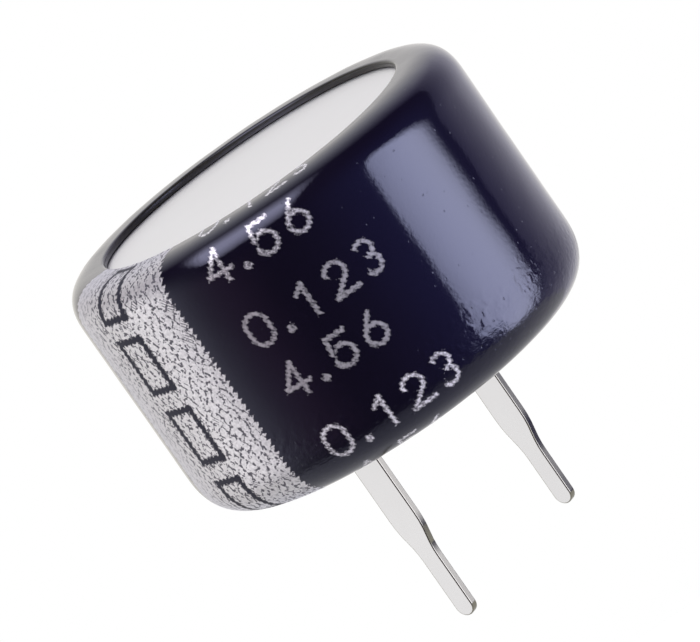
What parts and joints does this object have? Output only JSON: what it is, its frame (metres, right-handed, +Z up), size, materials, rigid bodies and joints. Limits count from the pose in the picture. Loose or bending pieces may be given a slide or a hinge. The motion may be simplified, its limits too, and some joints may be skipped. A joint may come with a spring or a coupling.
{
  "type": "coin supercapacitor",
  "caption": "Short round can of stacked double-layer cells in a dark shrink sleeve, on two flat necked board pins; it backs up small circuits when power fails.",
  "frame": {"origin": "on the body's axis in the plane of the sleeve's underside, where the part sits on a board", "axes": "+Z up the body's axis away from the board, X through both pins with the negative pin at -X"},
  "size_m": [0.011, 0.011, 0.0117],
  "materials": {
    "sleeve_film": "glossy near-black shrink film with a silver polarity stripe",
    "can_metal": "satin nickel plate",
    "terminal_tin": "tin plate",
    "plate_metal": "plain rolled",
    "black_moulding": "moulded",
    "pale_moulding": "moulded",
    "cell_rubber": "matt conductive rubber"
  },
  "bodies": {
    "root": {"sleeve": "sleeve_film", "can": "can_metal", "insulating_liner": "pale_moulding", "upper_contact_plate": "plate_metal", "lower_contact_plate": "plate_metal", "insulating_base": "black_moulding", "negative_terminal": "terminal_tin", "positive_terminal": "terminal_tin", "unit_cell_1": "cell_rubber", "unit_cell_2": "cell_rubber", "unit_cell_3": "cell_rubber", "unit_cell_4": "cell_rubber", "unit_cell_5": "cell_rubber", "unit_cell_6": "cell_rubber"}
  },
  "joints": []
}
